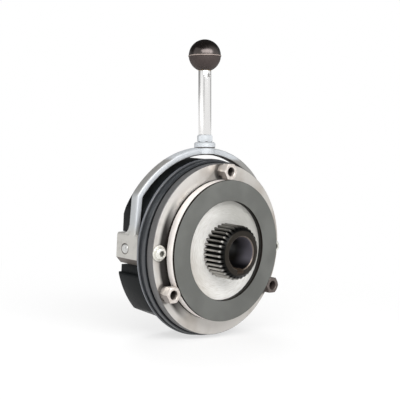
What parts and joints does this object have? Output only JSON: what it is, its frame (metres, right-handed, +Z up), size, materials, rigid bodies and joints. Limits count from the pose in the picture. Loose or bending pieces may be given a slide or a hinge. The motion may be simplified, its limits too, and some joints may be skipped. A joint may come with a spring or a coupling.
{
  "type": "spring-applied motor disc brake",
  "caption": "Spring-applied electromagnetic disc brake for a motor end shield, with toothed rotor hub, dust ring and a hand release lever.",
  "frame": {"origin": "on the shaft axis, in the plane of the three sleeve faces that meet the motor end shield", "axes": "shaft axis along Y with the motor on the -Y side, release lever up along +Z, lugs to +X and -X"},
  "size_m": [0.1655, 0.08, 0.2757],
  "materials": {
    "black_casting": "satin black coat on a casting",
    "bobbin_plastic": "moulded",
    "copper_winding": "enamelled copper wire",
    "resin": "casting resin",
    "spring_steel": "drawn wire",
    "yellow_zinc": "yellow zinc plated",
    "ring_rubber": "satin rubber",
    "dull_zinc": "dull zinc plated",
    "black_rubber": "matt",
    "plate_steel": "ground steel",
    "bright_zinc": "bright zinc plated",
    "yoke_casting": "silver coat on a casting",
    "polished_steel": "polished",
    "knob_plastic": "polished black-brown thermoset",
    "brass_insert": "turned",
    "hub_steel": "machined and oiled",
    "carrier_metal": "turned",
    "friction_lining": "ground friction lining"
  },
  "bodies": {
    "magnet": {"magnet_body": "black_casting", "coil_bobbin": "bobbin_plastic", "coil": "copper_winding", "coil_resin": "resin", "torque_springs": "spring_steel", "adjuster_ring": "yellow_zinc", "dust_ring": "ring_rubber", "sleeve_bolts": "dull_zinc", "cable_grommet": "black_rubber", "release_springs": "spring_steel"},
    "armature": {"armature_plate": "plate_steel", "release_bolts": "bright_zinc", "release_washers": "bright_zinc", "release_nuts": "dull_zinc", "release_pins": "bright_zinc"},
    "yoke": {"release_yoke": "yoke_casting", "lever_lock_nut": "yoke_casting", "lever_rod": "polished_steel", "ball_knob": "knob_plastic", "knob_insert": "brass_insert"},
    "shaft_hub": {"hub": "hub_steel"},
    "rotor": {"rotor_carrier": "carrier_metal", "front_lining": "friction_lining", "rear_lining": "friction_lining"}
  },
  "joints": [
    {"name": "armature_travel", "type": "slide", "parent": "magnet", "child": "armature", "axis": [0, 1, 0], "range_m": [0, 0.00035], "deforming": ["torque_springs", "release_springs"]},
    {"name": "lever_swing", "type": "hinge", "parent": "armature", "child": "yoke", "pos_m": [0, 0.04953, 0], "axis": [-1, 0, 0], "range_deg": [0, 7], "stiffness_Nm_per_rad": 20, "springref_deg": -17.19},
    {"name": "hub_spin", "type": "hinge", "parent": "magnet", "child": "shaft_hub", "pos_m": [0, 0, 0], "axis": [0, 1, 0], "continuous": true},
    {"name": "rotor_float", "type": "slide", "parent": "shaft_hub", "child": "rotor", "axis": [0, 1, 0], "range_m": [0, 0.000175]}
  ],
  "couplings": [
    {"joint": "armature_travel", "follows": "lever_swing", "m_per_rad": 0.00286},
    {"joint": "rotor_float", "follows": "lever_swing", "m_per_rad": 0.00143}
  ]
}
